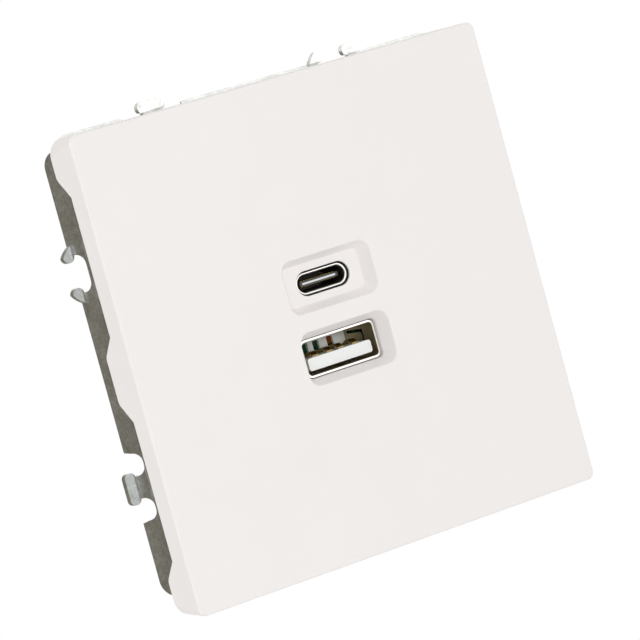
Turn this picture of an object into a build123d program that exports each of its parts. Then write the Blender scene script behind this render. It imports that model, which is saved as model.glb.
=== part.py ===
"""Flush USB wall socket: a push-fit cover over a stamped bracket that carries a two-port charger module.

X runs right, Y into the wall and Z up, in millimetres.
The origin is the centre of the box-screw pattern, on the back face of the bracket's plate.
"""
import os

from build123d import *

# Cover
COVER_SIDE = 70.6
COVER_CORNER_R = 1.1
FACE_T = 2.0
FACE_EDGE_R = 0.3
SKIRT_T = 0.75
SKIRT_DEPTH = 6.7  # front face to the ends of the teeth
NOTCH_DEPTH = 3.9  # front face to the edge between the teeth
TOOTH_HALF = 3.45  # half of the middle tooth, at its end
CORNER_TOOTH = 5.65  # corner tooth, at its end
TOOTH_R = 1.2
SKIRT_CORNER_R = 2.6  # at the ends of the teeth
COVER_STANDOFF = 1.5  # clear height between the cover's face and the plate
BOSS_WALL = 1.2
BOSS_CLEAR = 0.2
SPACER_L = 6.0
SPACER_T = 1.5
SPACER_GAP = 4.0  # from a snap leg to its spacer

# Cover snap legs
LEG_X = 24.5
LEG_Z = 25.0
LEG_W = 6.0
LEG_T = 1.4
LEG_REACH = 2.2  # past the back of the plate
BARB = 0.7
LEG_FIT = 0.1

# Port recesses in the cover
PORT_PITCH = 10.6
RECESS_DEPTH = 2.1
RECESS_INSET = 1.05  # draft of each recess wall over its depth
RECESS_R = 1.8
RECESS_EDGE_R = 0.25
RIM_SETBACK = 0.5  # shell rims behind the recess floor
A_GAP = 0.15
C_GAP = 0.3
C_LIP = 0.3
C_UNDERCUT = 0.6

# Bracket
SHEET_T = 1.0
BEND_R = 1.3
FLANGE_DEPTH = 5.1  # plate's back to the flange edges that meet the wall
FLANGE_RISE = 0.4  # middle of the folded outline above the box screws
FLARE_START = 2.4  # plate's back to where the flanges splay out
FLARE = 1.1
SKIRT_FIT = 0.1
CORNER_RELIEF = 1.8
CORNER_SLIT = 0.5
FLANGE_END_R = 2.4
HOOK_AT = 15.5  # hook pair, from the middle of its side
TEE_AT = 16.2  # T head, from the middle of its side
TAB_REACH = 2.6  # tabs beyond the straight of the flange
CAVITY_W = 5.5
CAVITY_TOP = 2.6  # plate's back to the front edge of the cavity
CAVITY_R = 1.5
HOOK_ROOT = 4.55  # outer root of a hook, from the middle of the pair
HOOK_TIP = 1.83  # tip of a hook, from the middle of the pair
TEE_W = 4.7
TEE_T = 1.75
TEE_R = 0.8
TEE_NECK = 3.3
TEE_NOTCH_R = 1.65
TEE_NOTCH_TOP = 2.2  # plate's back to the front of the round notches
TEE_NOTCH_FLARE = 0.5
BOX_SCREW_SPACING = 60.0
BOX_SLOT_L = 5.4
BOX_SLOT_W = 3.8
WINDOW_R = 2.0

# Charger box
BOX_W = 40.0
BOX_R = 3.0
BOX_WALL = 1.5
POST_W = 6.1
PAD_MARGIN_X = 6.0
PAD_MARGIN_Z = 4.0
PAD_FIT = 0.2
PORT_FIT = 0.1
LEDGE_L = 6.0
LEDGE_T = 1.2
LID_T = 2.0
LID_CHAMFER = 0.7
LIP_T = 1.0
LIP_H = 1.5
LIP_FIT = 0.15

# Screws that hold the box
FIX_R = 1.1
FIX_HEAD_R = 2.1
FIX_LENGTH = 7.0
FIX_FIT = 0.05
HEAD_CLEAR = 0.3
SINK_H = 1.0
CROSS_W = 0.6
CROSS_DEPTH = 0.5

# Board
BOARD_T = 1.6
BOARD_GAP = 0.3
PIN_GAP = 0.2

# USB-A receptacle
A_W = 13.0
A_H = 5.62
A_R = 0.9
A_WALL = 0.3
PORT_LENGTH = 10.9  # shell rim to the board
A_TONGUE_W = 11.1
A_TONGUE_T = 1.84
A_TONGUE_GAP = 0.65  # under the tongue
A_TONGUE_R = 0.4
A_TONGUE_SETBACK = 0.5
A_BACK_T = 0.5
A_HOLLOW = 2.2  # back wall to the board
A_BLOCK_RIM = 0.8
A_BLOCK_FIT = 0.05
A_CONTACT_W = 1.0
A_CONTACT_T = 0.2
A_CONTACT_INNER = 1.0
A_CONTACT_OUTER = 3.5
A_WINDOW_H = 1.6
A_ARCH_H = 0.55
A_ARCH_L = 2.6
A_ARCH_AT = 1.5  # shell rim to the front of the arch
FINGER_W = 2.2
FINGER_L = 4.5
FINGER_CUT = 0.45
FINGER_AT = 3.0  # shell rim to the free end of a spring finger
FINGER_X = 3.1
LEG_PIN_W = 1.2
LEG_PIN_OUT = 0.6  # solder pins past the board

# USB-C receptacle
C_W = 8.74
C_H = 3.1
C_WALL = 0.25
C_RIM_CHAMFER = 0.1
C_TONGUE_W = 6.7
C_TONGUE_T = 0.7
C_TONGUE_R = 0.2
C_TONGUE_SETBACK = 0.7
C_STEP_T = 1.1
C_STEP_L = 1.4
C_BACK_DEPTH = 6.2
C_CONTACTS = 12
C_CONTACT_PITCH = 0.5
C_CONTACT_W = 0.26
C_CONTACT_T = 0.08
C_CONTACT_SETBACK = 0.5  # contacts behind the tongue's front

# Mains terminals
TERM_POST_GAP = 0.1  # from a chamber wall to a corner post
TERM_INSET = 5.0  # screw axis to the box's bottom wall
CAGE_CLEAR = 0.8
CAGE_W = 7.0
CAGE_WALL = 1.0
CAGE_H = 6.0
CAGE_NUT_T = 1.8
CAGE_FIT = 0.2
CAGE_EDGE_R = 0.5
CLAMP_TRAVEL = 2.8
WIRE_GAP = 4.4
WIRE_W = 4.6
WIRE_R = 0.6
BAR_T = 1.0
BAR_W = 4.4
BAR_TAIL_W = 2.0
BAR_BOTTOM = 4.4
TERM_R = 1.5
TERM_FIT = 0.05
TERM_HEAD_R = 2.5
TERM_HEAD_H = 1.8
TERM_HEAD_CLEAR = 0.6
TERM_TIP_GAP = 0.1
TERM_SLOT_W = 0.8
TERM_SLOT_DEPTH = 0.9
WELL_FIT = 0.3
WELL_COLLAR = 0.8
WELL_COLLAR_GAP = 0.2
DRIVER_R = 2.1
CHAMBER_T = 0.9
CHAMBER_FIT = 0.3

# Power parts on the back of the board
POST_CLEAR = 0.4  # bobbin to a corner post
CORE_W = 13.2
CORE_T = 6.2
CORE_YOKE = 2.2
CORE_LIMB = 1.9
CORE_MIDDLE = 2.8
CORE_LIFT = 1.4
CORE_HEADROOM = 1.6
BOBBIN_T = 0.6
BOBBIN_FLANGE_T = 0.8
BOBBIN_FLANGE_W = 12.0
BOBBIN_FIT = 0.1
WINDING_T = 1.6
WINDING_R = 1.2
CAN_POST_CLEAR = 1.8
CAN_EDGE_CLEAR = 2.0
CAN_PIN_CLEAR = 0.8
CAN_FUSE_CLEAR = 0.3
CAN_LOW_Z = 2.4
CAN_HEADROOM = 1.9
CAN_CHAMFER = 0.6
CAN_GROOVE = 0.35
FUSE_EDGE_CLEAR = 0.7
FUSE_Z = 3.0
FUSE_SIZE = (4.2, 8.4)
FUSE_H = 7.5
FUSE_R = 0.8
CHOKE_EDGE_CLEAR = 2.8
CHOKE_BOBBIN_CLEAR = 1.3
CHOKE_R = 2.4
CHOKE_WAIST = 0.7
CHOKE_H = 7.0
CHOKE_RIM = 1.0
SAFETY_CAP_X = -0.6
SAFETY_CAP_SIZE = (10.0, 3.6)
SAFETY_CAP_H = 8.5
SAFETY_CAP_R = 0.6

# Low-voltage parts on the front of the board
OUTPUT_CAN_EDGE_CLEAR = 2.7
OUTPUT_CAN_ZS = (5.2, -3.6)
OUTPUT_CAN_R = 3.1
OUTPUT_CAN_HEADROOM = 1.4
CHIP_INSET = 6.2  # chips to the board's edge
CHIP_ZS = (4.0, -4.0)
CHIP_SIZE = (3.9, 4.9)
CHIP_H = 1.5
BRIDGE_X = 3.5
BRIDGE_INSET = 5.2  # rectifier to the board's edge
BRIDGE_SIZE = (4.7, 3.9)
BRIDGE_H = 1.6
PORT_CAP_SIZE = (1.8, 1.3)
PORT_CAP_H = 1.0
PORT_CAP_GAP = 0.15  # above the contact tail
PORT_CAP_SHIFT = 0.15  # from the side of the hollow in the USB-A insulator
CHIP_EDGE = 0.3

# Depths, front to back
PLATE_FRONT = -SHEET_T
FACE_BACK = PLATE_FRONT - COVER_STANDOFF
FACE = FACE_BACK - FACE_T
SKIRT_END = FACE + SKIRT_DEPTH
NOTCH_EDGE = FACE + NOTCH_DEPTH
RECESS_FLOOR = FACE + RECESS_DEPTH
BOSS_BACK = PLATE_FRONT - BOSS_CLEAR
RIM = RECESS_FLOOR + RIM_SETBACK
BOARD_FRONT = RIM + PORT_LENGTH
BOARD_BACK = BOARD_FRONT + BOARD_T
CAGE_FRONT = BOARD_BACK + CAGE_CLEAR
WIRE_FRONT = CAGE_FRONT + CAGE_WALL
BAR_FRONT = WIRE_FRONT + WIRE_GAP
BAR_BACK = BAR_FRONT + BAR_T
CAGE_NUT = BAR_BACK + CAGE_FIT
CAGE_BACK = CAGE_NUT + CAGE_NUT_T
TERM_HEAD = CAGE_BACK + CLAMP_TRAVEL + TERM_HEAD_CLEAR
TERM_HEAD_BACK = TERM_HEAD + TERM_HEAD_H
LID_BACK = TERM_HEAD_BACK + WELL_COLLAR_GAP + WELL_COLLAR
BOX_BACK = LID_BACK - LID_T

# Sizes that follow
FLANGE_OUT = COVER_SIDE / 2 - SKIRT_T - SKIRT_FIT - FLANGE_RISE
FLANGE_IN = FLANGE_OUT - SHEET_T
FLANGE_TIP = FLANGE_OUT + FLARE
FLOOR_W = A_W + 2 * A_GAP
FLOOR_H = A_H + 2 * A_GAP
FLOOR_R = RECESS_R - RECESS_INSET
RECESS_W = FLOOR_W + 2 * RECESS_INSET
RECESS_H = FLOOR_H + 2 * RECESS_INSET
C_Z = PORT_PITCH / 2
A_Z = -PORT_PITCH / 2
PAD_W = A_W + 2 * PAD_MARGIN_X
PAD_H = PORT_PITCH + A_H + 2 * PAD_MARGIN_Z
BOX_IN = BOX_W - 2 * BOX_WALL
POST_AT = (BOX_IN - POST_W) / 2
POST_IN = POST_AT - POST_W / 2
BOARD_W = BOX_IN - 2 * BOARD_GAP
BOARD_CORNER = POST_W
TERM_X = POST_IN - TERM_POST_GAP - CHAMBER_T - CHAMBER_FIT - CAGE_W / 2
TERM_Z = TERM_INSET - BOX_IN / 2
A_BACK_DEPTH = PORT_LENGTH - A_BACK_T - A_HOLLOW
A_PIN_X = (A_W - A_WALL) / 2
C_PIN_X = C_W / 2 - C_H / 4
BAR_TOPS = (TERM_Z + CAGE_H / 2 + A_Z - LEG_PIN_W / 2 + BAR_T) / 2
FUSE_AT = (BOARD_W / 2 - FUSE_EDGE_CLEAR - FUSE_SIZE[0] / 2, FUSE_Z)
CAN_RIGHT = FUSE_AT[0] - FUSE_SIZE[0] / 2 - CAN_FUSE_CLEAR
CAN_R = (CAN_RIGHT - C_PIN_X - LEG_PIN_W / 2 - CAN_PIN_CLEAR) / 2
CAN_AT = (
    (POST_IN - CAN_POST_CLEAR - CAN_R, BOARD_W / 2 - CAN_EDGE_CLEAR - CAN_R),
    (CAN_RIGHT - CAN_R, CAN_LOW_Z),
)
TRANSFORMER_AT = (-CORE_W / 2, POST_IN - POST_CLEAR - BOBBIN_FLANGE_W / 2)
BOBBIN_BOTTOM = TRANSFORMER_AT[1] - BOBBIN_FLANGE_W / 2
CHOKE_AT = (CHOKE_R + CHOKE_EDGE_CLEAR - BOARD_W / 2, BOBBIN_BOTTOM - CHOKE_BOBBIN_CLEAR - CHOKE_R)
SAFETY_CAP_AT = (SAFETY_CAP_X, (BOBBIN_BOTTOM + BAR_TOPS) / 2)
OUTPUT_CAN_X = OUTPUT_CAN_R + OUTPUT_CAN_EDGE_CLEAR - BOARD_W / 2
BRIDGE_AT = (BRIDGE_X, BOARD_W / 2 - BRIDGE_INSET)
A_TONGUE_BOTTOM = A_Z - A_H / 2 + A_WALL + A_TONGUE_GAP
A_TONGUE_TOP = A_TONGUE_BOTTOM + A_TONGUE_T
A_CONTACT_XS = (-A_CONTACT_OUTER, -A_CONTACT_INNER, A_CONTACT_INNER, A_CONTACT_OUTER)
PORT_CAP_AT = (
    A_W / 2 - A_WALL - A_BLOCK_FIT - A_BLOCK_RIM - PORT_CAP_SHIFT - PORT_CAP_SIZE[0] / 2,
    A_TONGUE_TOP + A_CONTACT_T + PORT_CAP_GAP + PORT_CAP_SIZE[1] / 2,
)

# Each side of the square: which way it faces, and the way along it, clockwise from the left
SIDES = (
    (Vector(-1, 0, 0), Vector(0, 0, 1)),
    (Vector(0, 0, 1), Vector(1, 0, 0)),
    (Vector(1, 0, 0), Vector(0, 0, -1)),
    (Vector(0, 0, -1), Vector(-1, 0, 0)),
)


def at_depth(depth):
    """Plane parallel to the wall, X right and Z up, that extrudes towards the room."""
    return Plane.XZ.offset(-depth)


def on_side(outward, along, distance, rise=0):
    """Plane on one side of the square: along it, and into the wall."""
    return Plane(origin=outward * distance + Vector(0, 0, rise), x_dir=along, z_dir=outward)


def radial(place, depth):
    """Plane through a screw's axis: radius, and into the wall."""
    return Plane(origin=(place[0], depth, place[1]), x_dir=(1, 0, 0), z_dir=(0, 0, 1))


def axis_at(place):
    """Line into the wall through a place on the face."""
    return Axis((place[0], 0, place[1]), (0, 1, 0))


# Front cover: moulded square lid with toothed skirt, drafted port recesses and snap legs
with BuildPart() as front_cover:
    for depth, corner_r in ((SKIRT_END, SKIRT_CORNER_R), (FACE, COVER_CORNER_R)):
        with BuildSketch(at_depth(depth)):
            RectangleRounded(COVER_SIDE, COVER_SIDE, corner_r)
    loft(ruled=True)
    fillet(front_cover.faces().sort_by(Axis.Y)[0].edges(), FACE_EDGE_R)
    with BuildSketch(at_depth(SKIRT_END)):
        RectangleRounded(COVER_SIDE - 2 * SKIRT_T, COVER_SIDE - 2 * SKIRT_T, SKIRT_CORNER_R - SKIRT_T)
    extrude(amount=SKIRT_END - FACE_BACK, mode=Mode.SUBTRACT)
    notch_run = SKIRT_END - NOTCH_EDGE
    notch_out = COVER_SIDE / 2 - CORNER_TOOTH
    for outward, along in SIDES:
        with BuildSketch(on_side(outward, along, COVER_SIDE / 2)):
            with BuildLine():
                Polyline(
                    (TOOTH_HALF, SKIRT_END),
                    (TOOTH_HALF + notch_run, NOTCH_EDGE),
                    (notch_out - notch_run, NOTCH_EDGE),
                    (notch_out, SKIRT_END),
                    close=True,
                )
            make_face()
            mirror(about=Plane.YZ)
        extrude(amount=-SKIRT_T, mode=Mode.SUBTRACT)
    tooth_corners = front_cover.edges().filter_by(
        lambda e: abs(e.center().Y - SKIRT_END) < 1e-3 and abs(e.length - SKIRT_T) < 1e-3
    )
    fillet(tooth_corners, TOOTH_R)
    with BuildSketch(at_depth(BOSS_BACK)):
        RectangleRounded(RECESS_W + 2 * BOSS_WALL, PORT_PITCH + RECESS_H + 2 * BOSS_WALL, RECESS_R)
    extrude(amount=BOSS_BACK - FACE_BACK)
    for port_z in (C_Z, A_Z):
        with BuildSketch(at_depth(FACE)):
            with Locations((0, port_z)):
                RectangleRounded(RECESS_W, RECESS_H, RECESS_R)
        with BuildSketch(at_depth(RECESS_FLOOR)):
            with Locations((0, port_z)):
                RectangleRounded(FLOOR_W, FLOOR_H, FLOOR_R)
        loft(mode=Mode.SUBTRACT)
    with BuildSketch(at_depth(BOSS_BACK)):
        with Locations((0, A_Z)):
            RectangleRounded(FLOOR_W, FLOOR_H, FLOOR_R)
        with Locations((0, C_Z)):
            SlotOverall(C_W + 2 * C_GAP, C_H + 2 * C_GAP)
    extrude(amount=BOSS_BACK - RECESS_FLOOR, mode=Mode.SUBTRACT)
    with BuildSketch(at_depth(BOSS_BACK)):
        with Locations((0, C_Z)):
            SlotOverall(C_W + 2 * (C_GAP + C_UNDERCUT), C_H + 2 * (C_GAP + C_UNDERCUT))
    extrude(amount=BOSS_BACK - RECESS_FLOOR - C_LIP, mode=Mode.SUBTRACT)
    fillet(front_cover.faces().sort_by(Axis.Y)[0].inner_wires().edges(), RECESS_EDGE_R)
    for leg_x in (-LEG_X, LEG_X):
        with BuildSketch(Plane.YZ.offset(leg_x - LEG_W / 2)):
            with BuildLine():
                Polyline(
                    (FACE_BACK, LEG_Z - LEG_T / 2),
                    (LEG_REACH, LEG_Z - LEG_T / 2),
                    (LEG_REACH, LEG_Z),
                    (LEG_FIT, LEG_Z + LEG_T / 2 + BARB),
                    (LEG_FIT, LEG_Z + LEG_T / 2),
                    (FACE_BACK, LEG_Z + LEG_T / 2),
                    close=True,
                )
            make_face()
            mirror(about=Plane.XZ)
        extrude(amount=LEG_W)
    with BuildSketch(at_depth(PLATE_FRONT)):
        with GridLocations(2 * LEG_X, 2 * (LEG_Z - SPACER_GAP), 2, 2):
            Rectangle(SPACER_L, SPACER_T)
    extrude(amount=PLATE_FRONT - FACE_BACK)

# Support bracket: one sheet, folded back on four sides, with hooks and T heads bent out at the wall
flange_middle = Location((0, FLANGE_RISE))
with BuildPart() as support_bracket:
    with BuildSketch(at_depth(FLARE_START)):
        with Locations(flange_middle):
            Rectangle(2 * FLANGE_OUT, 2 * FLANGE_OUT)
    extrude(amount=FLARE_START - PLATE_FRONT)
    fillet(support_bracket.faces().sort_by(Axis.Y)[0].edges(), BEND_R)
    for depth, half in ((FLARE_START, FLANGE_OUT), (FLANGE_DEPTH, FLANGE_TIP)):
        with BuildSketch(at_depth(depth)):
            with Locations(flange_middle):
                Rectangle(2 * half, 2 * half)
    loft()
    with BuildSketch(at_depth(FLARE_START)):
        with Locations(flange_middle):
            Rectangle(2 * FLANGE_IN, 2 * FLANGE_IN)
    extrude(amount=FLARE_START, mode=Mode.SUBTRACT)
    for depth, half in ((FLARE_START, FLANGE_IN), (FLANGE_DEPTH, FLANGE_TIP - SHEET_T)):
        with BuildSketch(at_depth(depth)):
            with Locations(flange_middle):
                Rectangle(2 * half, 2 * half)
    loft(mode=Mode.SUBTRACT)
    past_corner = FLANGE_TIP + SHEET_T
    for outward, along in SIDES:
        with BuildSketch(Plane(origin=(0, FLANGE_DEPTH, FLANGE_RISE), x_dir=along, z_dir=(0, -1, 0))):
            with BuildLine():
                Polyline(
                    (FLANGE_IN, FLANGE_IN),
                    (FLANGE_IN, FLANGE_IN - CORNER_SLIT),
                    (past_corner, FLANGE_IN - CORNER_SLIT),
                    (past_corner, past_corner),
                    (FLANGE_TIP - CORNER_RELIEF, past_corner),
                    (FLANGE_TIP - CORNER_RELIEF, FLANGE_IN),
                    close=True,
                )
            make_face()
        extrude(amount=FLANGE_DEPTH - PLATE_FRONT, mode=Mode.SUBTRACT)
    flange_ends = support_bracket.edges().filter_by(
        lambda e: abs(e.center().Y - FLANGE_DEPTH) < 1e-3 and abs(e.length - SHEET_T) < 1e-3
    )
    fillet(flange_ends, FLANGE_END_R)
    with BuildSketch(at_depth(0)):
        RectangleRounded(PAD_W + 2 * PAD_FIT, PAD_H + 2 * PAD_FIT, WINDOW_R + PAD_FIT)
        with GridLocations(BOX_SCREW_SPACING, 0, 2, 1):
            SlotOverall(BOX_SLOT_L, BOX_SLOT_W)
        with GridLocations(0, BOX_SCREW_SPACING, 1, 2):
            SlotOverall(BOX_SLOT_L, BOX_SLOT_W, rotation=90)
        with GridLocations(2 * POST_AT, 2 * POST_AT, 2, 2):
            Circle(FIX_R + 2 * FIX_FIT)
        slot_in = LEG_Z - LEG_T / 2 - BARB - LEG_FIT
        slot_out = LEG_Z + LEG_T / 2 + LEG_FIT
        with GridLocations(2 * LEG_X, slot_in + slot_out, 2, 2):
            Rectangle(LEG_W + 4 * LEG_FIT, slot_out - slot_in)
    extrude(amount=SHEET_T, mode=Mode.SUBTRACT)
    notch_at = TEE_NECK / 2 + TEE_NOTCH_R
    notch_mid = TEE_NOTCH_TOP + TEE_NOTCH_R
    past_edge = FLANGE_DEPTH + SHEET_T
    for outward, along in SIDES:
        with BuildSketch(on_side(outward, along, FLANGE_TIP, FLANGE_RISE)) as flange_cuts:
            with Locations((HOOK_AT, (CAVITY_TOP + past_edge) / 2)):
                Rectangle(CAVITY_W, past_edge - CAVITY_TOP)
            fillet(flange_cuts.vertices().sort_by(Axis.Y)[:2], CAVITY_R)
            for flip in (-1, 1):
                with Locations((flip * notch_at - TEE_AT, notch_mid)):
                    Circle(TEE_NOTCH_R)
                with BuildLine():
                    Polyline(
                        (flip * TEE_NECK / 2 - TEE_AT, notch_mid),
                        (flip * TEE_NECK / 2 - TEE_AT, past_edge),
                        (flip * (TEE_NECK / 2 + 2 * TEE_NOTCH_R + TEE_NOTCH_FLARE) - TEE_AT, past_edge),
                        (flip * (TEE_NECK / 2 + 2 * TEE_NOTCH_R) - TEE_AT, notch_mid),
                        close=True,
                    )
                make_face()
        extrude(amount=FLANGE_IN - FLANGE_TIP, mode=Mode.SUBTRACT)
        with BuildSketch(Plane(origin=(0, FLANGE_DEPTH, FLANGE_RISE), x_dir=along, z_dir=(0, -1, 0))):
            tip_r = (TAB_REACH - TEE_R) / 2
            root = FLANGE_TIP - SHEET_T
            crest = FLANGE_OUT + TAB_REACH
            for flip in (-1, 1):
                with BuildLine():
                    Line((HOOK_AT + flip * CAVITY_W / 2, root), (HOOK_AT + flip * HOOK_ROOT, root))
                    ThreePointArc(
                        (HOOK_AT + flip * HOOK_ROOT, root),
                        (HOOK_AT + flip * (HOOK_ROOT - tip_r), FLANGE_OUT + 2 * tip_r),
                        (HOOK_AT + flip * (HOOK_TIP + tip_r), crest),
                    )
                    ThreePointArc(
                        (HOOK_AT + flip * (HOOK_TIP + tip_r), crest),
                        (HOOK_AT + flip * HOOK_TIP, crest - tip_r),
                        (HOOK_AT + flip * (HOOK_TIP + tip_r), crest - 2 * tip_r),
                    )
                    Line(
                        (HOOK_AT + flip * (HOOK_TIP + tip_r), crest - 2 * tip_r),
                        (HOOK_AT + flip * CAVITY_W / 2, root),
                    )
                make_face()
            with Locations((-TEE_AT, crest - TEE_T / 2)):
                RectangleRounded(TEE_W, TEE_T, TEE_R)
            with Locations((-TEE_AT, (root + crest - TEE_T / 2) / 2)):
                Rectangle(TEE_NECK, crest - TEE_T / 2 - root)
        extrude(amount=SHEET_T)

# Module housing: the charger's box, open at the back, with a pad that fills the bracket's window
with BuildPart() as module_housing:
    with BuildSketch(at_depth(BOX_BACK)):
        RectangleRounded(BOX_W, BOX_W, BOX_R)
    extrude(amount=BOX_BACK)
    with BuildSketch(at_depth(BOX_BACK)):
        RectangleRounded(BOX_IN, BOX_IN, BOX_R - BOX_WALL)
    extrude(amount=BOX_BACK - BOX_WALL, mode=Mode.SUBTRACT)
    with BuildSketch(at_depth(0)):
        RectangleRounded(PAD_W, PAD_H, WINDOW_R)
    extrude(amount=SHEET_T)
    with BuildSketch(at_depth(BOX_BACK)):
        with GridLocations(2 * POST_AT, 2 * POST_AT, 2, 2):
            Rectangle(POST_W, POST_W)
    extrude(amount=BOX_BACK - BOX_WALL)
    with BuildSketch(at_depth(BOARD_FRONT)):
        with GridLocations(0, BOX_IN - LEDGE_T, 1, 2):
            Rectangle(LEDGE_L, LEDGE_T)
        with GridLocations(BOX_IN - LEDGE_T, 0, 2, 1):
            Rectangle(LEDGE_T, LEDGE_L)
    extrude(amount=BOARD_FRONT - BOX_WALL)
    with BuildSketch(at_depth(BOX_WALL)):
        with Locations((0, A_Z)):
            RectangleRounded(A_W + 2 * PORT_FIT, A_H + 2 * PORT_FIT, A_R + PORT_FIT)
        with Locations((0, C_Z)):
            SlotOverall(C_W + 2 * PORT_FIT, C_H + 2 * PORT_FIT)
    extrude(amount=BOX_WALL + SHEET_T, mode=Mode.SUBTRACT)
    with BuildSketch(at_depth(FIX_LENGTH)):
        with GridLocations(2 * POST_AT, 2 * POST_AT, 2, 2):
            Circle(FIX_R + FIX_FIT)
    extrude(amount=FIX_LENGTH, mode=Mode.SUBTRACT)
    with BuildSketch(at_depth(BOX_BACK)):
        with GridLocations(2 * POST_AT, 2 * POST_AT, 2, 2):
            Circle(FIX_R + FIX_FIT)
    extrude(amount=FIX_LENGTH, mode=Mode.SUBTRACT)
    chamber_half = CAGE_W / 2 + CHAMBER_FIT + CHAMBER_T / 2
    chamber_top = TERM_Z + CAGE_H / 2
    chamber_h = chamber_top + BOX_IN / 2
    with BuildSketch(at_depth(TERM_HEAD)):
        with GridLocations(2 * TERM_X, 0, 2, 1):
            with GridLocations(2 * chamber_half, 0, 2, 1):
                with Locations((0, chamber_top - chamber_h / 2)):
                    Rectangle(CHAMBER_T, chamber_h)
    extrude(amount=TERM_HEAD - BOARD_BACK - CHAMBER_FIT)
    with BuildSketch(Plane.XY.offset(-BOX_W / 2)):
        with Locations((-TERM_X, (WIRE_FRONT + BAR_FRONT) / 2), (TERM_X, (WIRE_FRONT + BAR_FRONT) / 2)):
            RectangleRounded(WIRE_W, WIRE_GAP, WIRE_R)
    extrude(amount=BOX_WALL, mode=Mode.SUBTRACT)

# Rear lid: closes the box, with a well over each terminal screw
with BuildPart() as rear_lid:
    with BuildSketch(at_depth(LID_BACK)):
        RectangleRounded(BOX_W, BOX_W, BOX_R)
    extrude(amount=LID_T)
    chamfer(rear_lid.faces().sort_by(Axis.Y)[-1].edges(), LID_CHAMFER)
    lip_l = BOX_IN - 2 * POST_W - 2 * LIP_FIT
    lip_at = BOX_IN - LIP_T - 2 * LIP_FIT
    with BuildSketch(at_depth(BOX_BACK)):
        with GridLocations(0, lip_at, 1, 2):
            Rectangle(lip_l, LIP_T)
        with GridLocations(lip_at, 0, 2, 1):
            Rectangle(LIP_T, lip_l)
    extrude(amount=LIP_H)
    with BuildSketch(at_depth(LID_BACK)):
        with Locations((-TERM_X, TERM_Z), (TERM_X, TERM_Z)):
            Circle(DRIVER_R)
    extrude(amount=LID_T, mode=Mode.SUBTRACT)
    with BuildSketch(at_depth(LID_BACK - WELL_COLLAR)):
        with Locations((-TERM_X, TERM_Z), (TERM_X, TERM_Z)):
            Circle(TERM_HEAD_R + WELL_FIT)
    extrude(amount=LID_T - WELL_COLLAR, mode=Mode.SUBTRACT)
    lip_gap = 2 * (CAGE_W / 2 + CHAMBER_FIT + CHAMBER_T + LIP_FIT)
    with BuildSketch(at_depth(BOX_BACK)):
        with Locations((-TERM_X, -lip_at / 2), (TERM_X, -lip_at / 2)):
            Rectangle(lip_gap, LIP_T)
    extrude(amount=LIP_H, mode=Mode.SUBTRACT)
    for post_x in (-POST_AT, POST_AT):
        for post_z in (-POST_AT, POST_AT):
            with BuildSketch(radial((post_x, post_z), LID_BACK)):
                with BuildLine():
                    Polyline(
                        (0, 0),
                        (FIX_HEAD_R + FIX_FIT, 0),
                        (FIX_R + FIX_FIT, -SINK_H),
                        (FIX_R + FIX_FIT, -LID_T),
                        (0, -LID_T),
                        close=True,
                    )
                make_face()
            revolve(axis=axis_at((post_x, post_z)), mode=Mode.SUBTRACT)

# Lid screws: countersunk, cross-headed
with BuildPart() as lid_screws:
    for post_x in (-POST_AT, POST_AT):
        for post_z in (-POST_AT, POST_AT):
            with BuildSketch(radial((post_x, post_z), LID_BACK)):
                with BuildLine():
                    Polyline(
                        (0, 0),
                        (FIX_HEAD_R, 0),
                        (FIX_R, -SINK_H),
                        (FIX_R, -FIX_LENGTH),
                        (0, -FIX_LENGTH),
                        close=True,
                    )
                make_face()
            revolve(axis=axis_at((post_x, post_z)))
    with BuildSketch(at_depth(LID_BACK)):
        with GridLocations(2 * POST_AT, 2 * POST_AT, 2, 2):
            Rectangle(FIX_HEAD_R, CROSS_W)
            Rectangle(CROSS_W, FIX_HEAD_R)
    extrude(amount=CROSS_DEPTH, mode=Mode.SUBTRACT)

# Module screws: pan heads in front of the plate, into the box's corner posts
fix_head_front = PLATE_FRONT - (COVER_STANDOFF - HEAD_CLEAR)
with BuildPart() as module_screws:
    with BuildSketch(at_depth(PLATE_FRONT)):
        with GridLocations(2 * POST_AT, 2 * POST_AT, 2, 2):
            Circle(FIX_HEAD_R)
    extrude(amount=PLATE_FRONT - fix_head_front)
    chamfer(module_screws.faces().group_by(Axis.Y)[0].edges(), (PLATE_FRONT - fix_head_front) / 2)
    with BuildSketch(at_depth(FIX_LENGTH - HEAD_CLEAR)):
        with GridLocations(2 * POST_AT, 2 * POST_AT, 2, 2):
            Circle(FIX_R)
    extrude(amount=FIX_LENGTH - HEAD_CLEAR - PLATE_FRONT)
    with BuildSketch(at_depth(fix_head_front)):
        with GridLocations(2 * POST_AT, 2 * POST_AT, 2, 2):
            Rectangle(FIX_HEAD_R, CROSS_W)
            Rectangle(CROSS_W, FIX_HEAD_R)
    extrude(amount=-CROSS_DEPTH, mode=Mode.SUBTRACT)

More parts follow.
